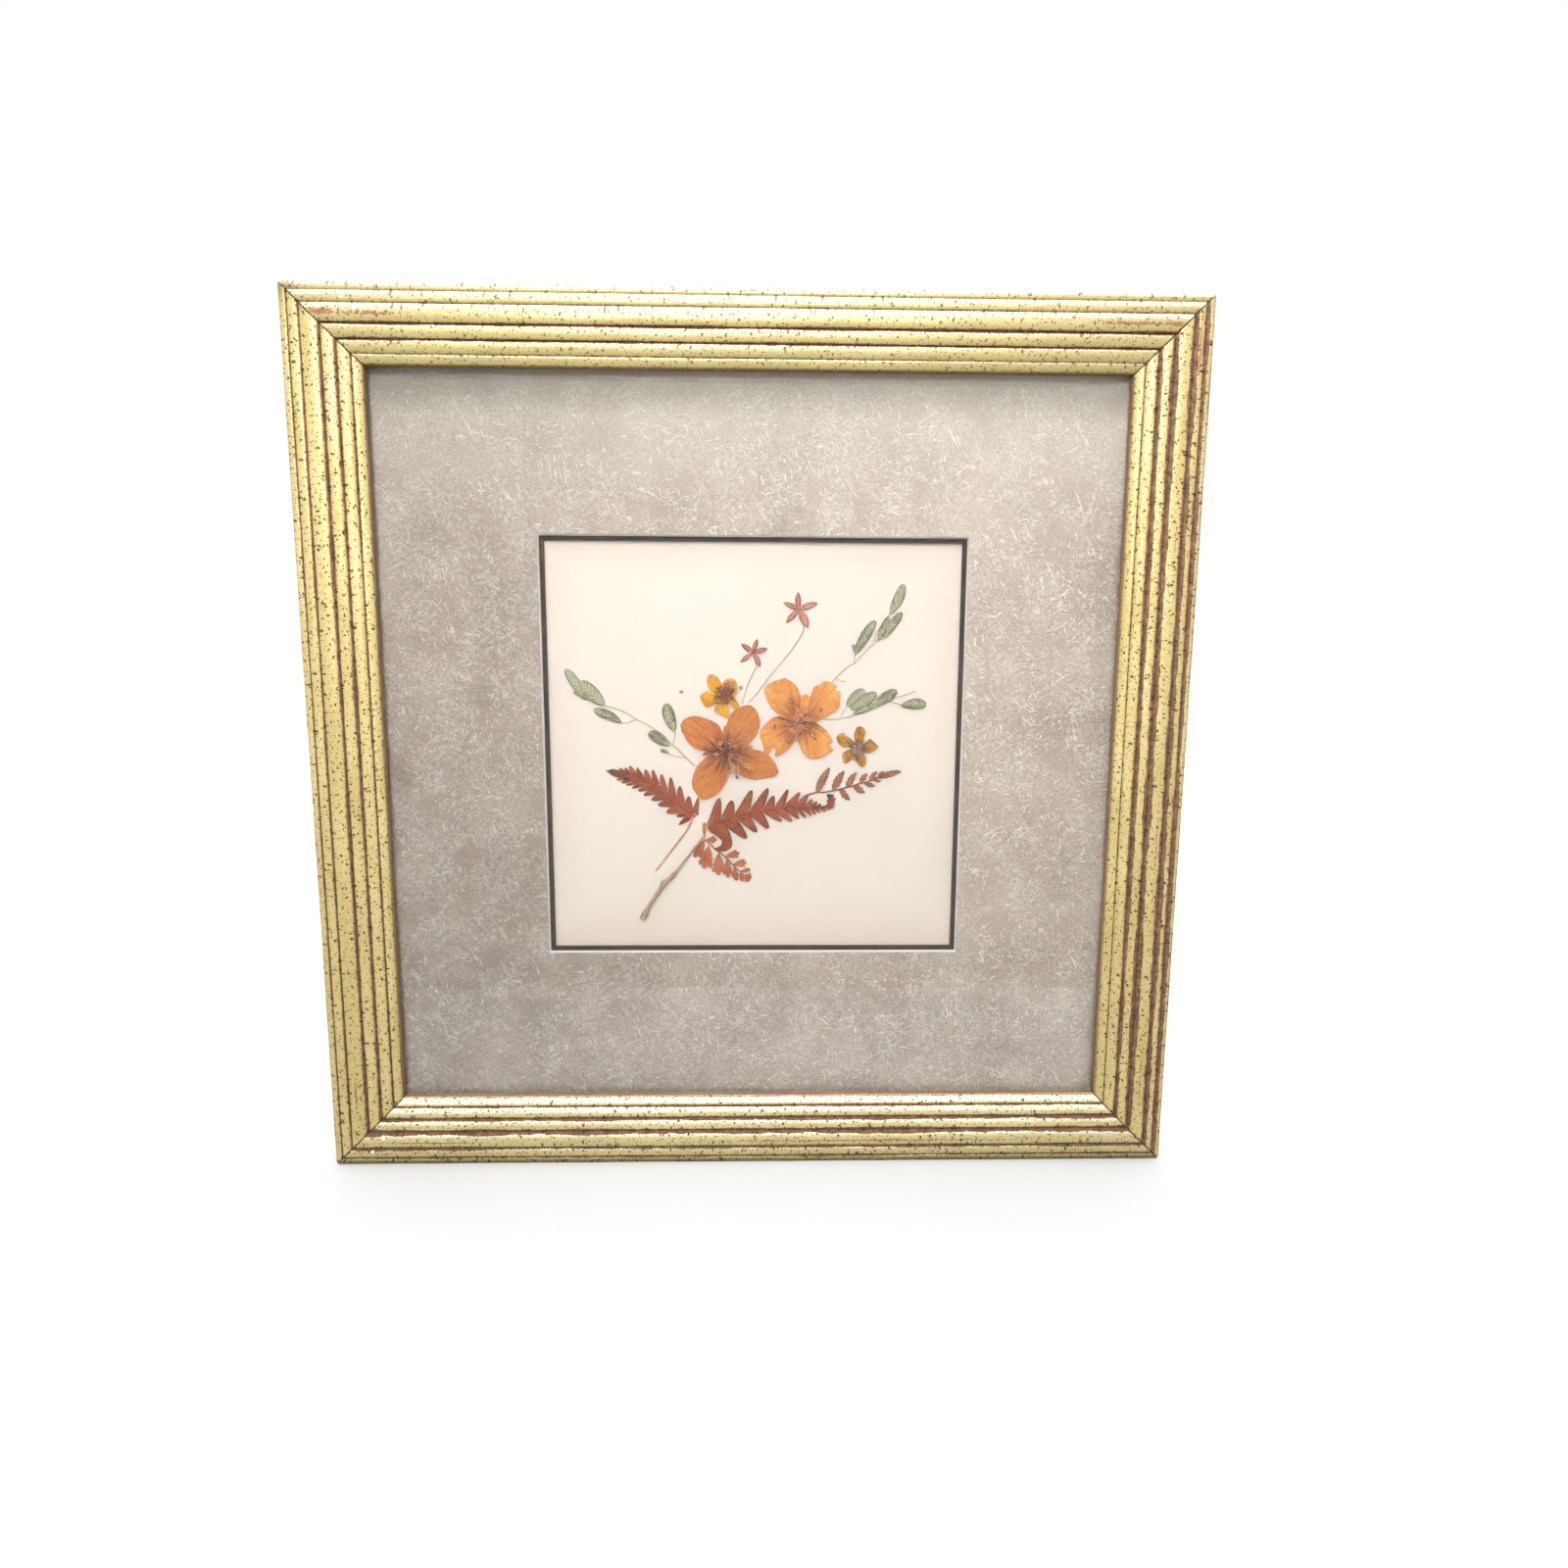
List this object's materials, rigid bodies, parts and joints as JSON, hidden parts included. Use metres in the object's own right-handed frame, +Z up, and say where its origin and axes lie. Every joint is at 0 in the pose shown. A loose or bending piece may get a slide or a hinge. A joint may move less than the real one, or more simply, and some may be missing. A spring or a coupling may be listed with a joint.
{
  "type": "pressed flower frame",
  "caption": "Square reeded gilt frame with glass, a window mat over a dark liner, and a cream card that carries a pressed bouquet of flowers, ferns and leaf sprays.",
  "frame": {"origin": "centre of the bottom of the whole object, on the surface that the frame's bottom edge stands on", "axes": "+Z up along the picture, +X to the right seen from the front, front of the frame faces -Y"},
  "size_m": [0.292, 0.0216, 0.292],
  "materials": {
    "gilding": "worn gold leaf over red clay",
    "clear_glass": "clear, polished",
    "parchment_mat": "mottled parchment paper, matte",
    "black_liner": "matte",
    "cream_card": "matte",
    "grey_board": "matte",
    "kraft_paper": "matte",
    "hanger_brass": "plated, dull",
    "orange_petal": "dry petal, matte",
    "amber_petal": "dry petal, matte",
    "yellow_petal": "dry petal, matte",
    "brown_petal": "dry petal, matte",
    "pink_petal": "dry petal, matte",
    "grey_leaf": "dry leaf, matte",
    "red_fern": "dry leaf, matte",
    "brown_fern": "dry leaf, matte",
    "rust_leaf": "dry leaf, matte",
    "twig_bark": "dry bark, matte"
  },
  "bodies": {
    "root": {"rail_top": "gilding", "rail_bottom": "gilding", "rail_left": "gilding", "rail_right": "gilding", "glass": "clear_glass", "mat": "parchment_mat", "liner_mat": "black_liner", "card": "cream_card", "backing_board": "grey_board", "dust_cover": "kraft_paper", "hanger": "hanger_brass", "hanger_nail_left": "hanger_brass", "hanger_nail_right": "hanger_brass", "flower_large_left": "orange_petal", "flower_large_right": "amber_petal", "flower_small_upper": "yellow_petal", "flower_small_right": "brown_petal", "star_flower_tall": "pink_petal", "star_flower_short": "pink_petal", "leaf_spray_left": "grey_leaf", "leaf_spray_upper": "grey_leaf", "leaf_spray_right": "grey_leaf", "fern_left": "red_fern", "fern_centre": "red_fern", "fern_right": "brown_fern", "cut_leaf": "rust_leaf", "twig": "twig_bark", "loose_speck_left": "twig_bark", "loose_speck_upper": "twig_bark"}
  },
  "joints": []
}
